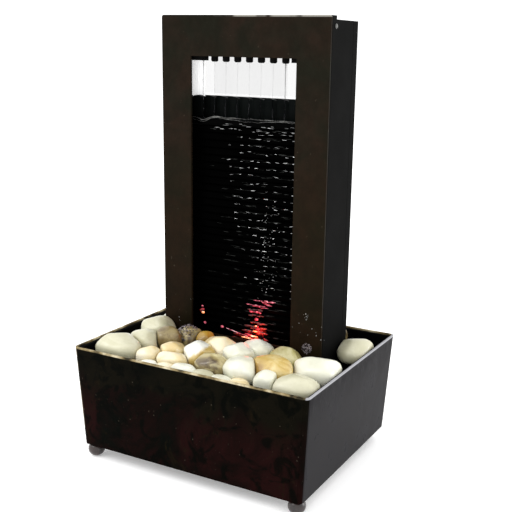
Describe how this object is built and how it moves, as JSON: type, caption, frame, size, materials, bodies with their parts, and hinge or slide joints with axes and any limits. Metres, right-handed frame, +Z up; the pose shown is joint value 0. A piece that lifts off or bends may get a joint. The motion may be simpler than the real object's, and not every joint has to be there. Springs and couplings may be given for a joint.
{
  "type": "tabletop water fountain",
  "caption": "Tabletop fountain: a hollow tower stands in a tapered basin of pebbles, and water threads fall from a comb and run down a ribbed, lamp-lit panel.",
  "frame": {"origin": "on the floor, under the middle of the basin", "axes": "+X to the right seen from the front, +Y from the front to the back, +Z up"},
  "size_m": [0.168, 0.132, 0.283],
  "materials": {
    "bronze": "satin, mottled dark bronze patina",
    "black_plastic": "matte",
    "gloss_black": "gloss, wet",
    "clear_vinyl": "gloss, translucent",
    "rubber": "matte",
    "ceramic": "satin",
    "ferrite": "matte",
    "steel": "satin",
    "red_lens": "gloss, lit from inside",
    "dark_foot": "satin, dark stain",
    "stone_cream": "smooth, wet",
    "stone_white": "smooth, wet",
    "stone_ochre": "smooth, wet",
    "stone_peach": "smooth, wet",
    "stone_tan": "smooth, wet",
    "stone_brown": "smooth, wet",
    "stone_olive": "smooth, wet"
  },
  "bodies": {
    "basin": {"basin_shell": "bronze", "basin_liner": "black_plastic", "foot_front_left": "dark_foot", "foot_back_left": "dark_foot", "foot_front_right": "dark_foot", "foot_back_right": "dark_foot", "cable_grommet": "rubber", "pump_motor": "black_plastic", "pump_volute": "black_plastic", "pump_cover": "black_plastic", "rotor_shaft": "ceramic", "suction_cup_1": "rubber", "suction_cup_2": "rubber", "suction_cup_3": "rubber", "suction_cup_4": "rubber"},
    "rotor": {"rotor_magnet": "ferrite", "impeller": "ceramic"},
    "flow_gate": {"flow_slider": "rubber"},
    "deck": {"pebble_deck": "black_plastic", "pebble_01_cream": "stone_cream", "pebble_02_cream": "stone_cream", "pebble_03_cream": "stone_cream", "pebble_04_tan": "stone_tan", "pebble_05_brown": "stone_brown", "pebble_06_ochre": "stone_ochre", "pebble_07_peach": "stone_peach", "pebble_08_peach": "stone_peach", "pebble_09_peach": "stone_peach", "pebble_10_ochre": "stone_ochre", "pebble_11_peach": "stone_peach", "pebble_12_white": "stone_white", "pebble_13_white": "stone_white", "pebble_14_brown": "stone_brown", "pebble_15_white": "stone_white", "pebble_16_ochre": "stone_ochre", "pebble_17_olive": "stone_olive", "pebble_18_white": "stone_white", "pebble_19_white": "stone_white", "pebble_20_cream": "stone_cream", "pebble_21_cream": "stone_cream", "pebbles_front_row": "stone_white", "pebbles_back_row": "stone_cream"},
    "tower": {"front_frame": "bronze", "tower_shell": "black_plastic", "rear_cover": "black_plastic", "side_screw_left": "steel", "rear_screw_left": "steel", "side_screw_right": "steel", "rear_screw_right": "steel", "cascade_panel": "gloss_black", "catch_weir": "gloss_black", "header_trough": "black_plastic", "nozzle_comb": "black_plastic", "header_lid": "black_plastic", "header_inlet": "black_plastic", "riser_tube": "clear_vinyl", "riser_clip": "black_plastic", "lamp_housing": "black_plastic", "lamp_lens": "red_lens"}
  },
  "joints": [
    {"name": "tower_lift", "type": "slide", "parent": "basin", "child": "tower", "axis": [0, 0, 1], "range_m": [0, 0.09]},
    {"name": "deck_lift", "type": "slide", "parent": "basin", "child": "deck", "axis": [0, 0, 1], "range_m": [0, 0.275]},
    {"name": "impeller_spin", "type": "hinge", "parent": "basin", "child": "rotor", "pos_m": [-0.0415, 0.02, 0.03], "axis": [0, 1, 0], "continuous": true},
    {"name": "flow_slide", "type": "slide", "parent": "basin", "child": "flow_gate", "axis": [1, 0, 0], "range_m": [0, 0.008]}
  ]
}
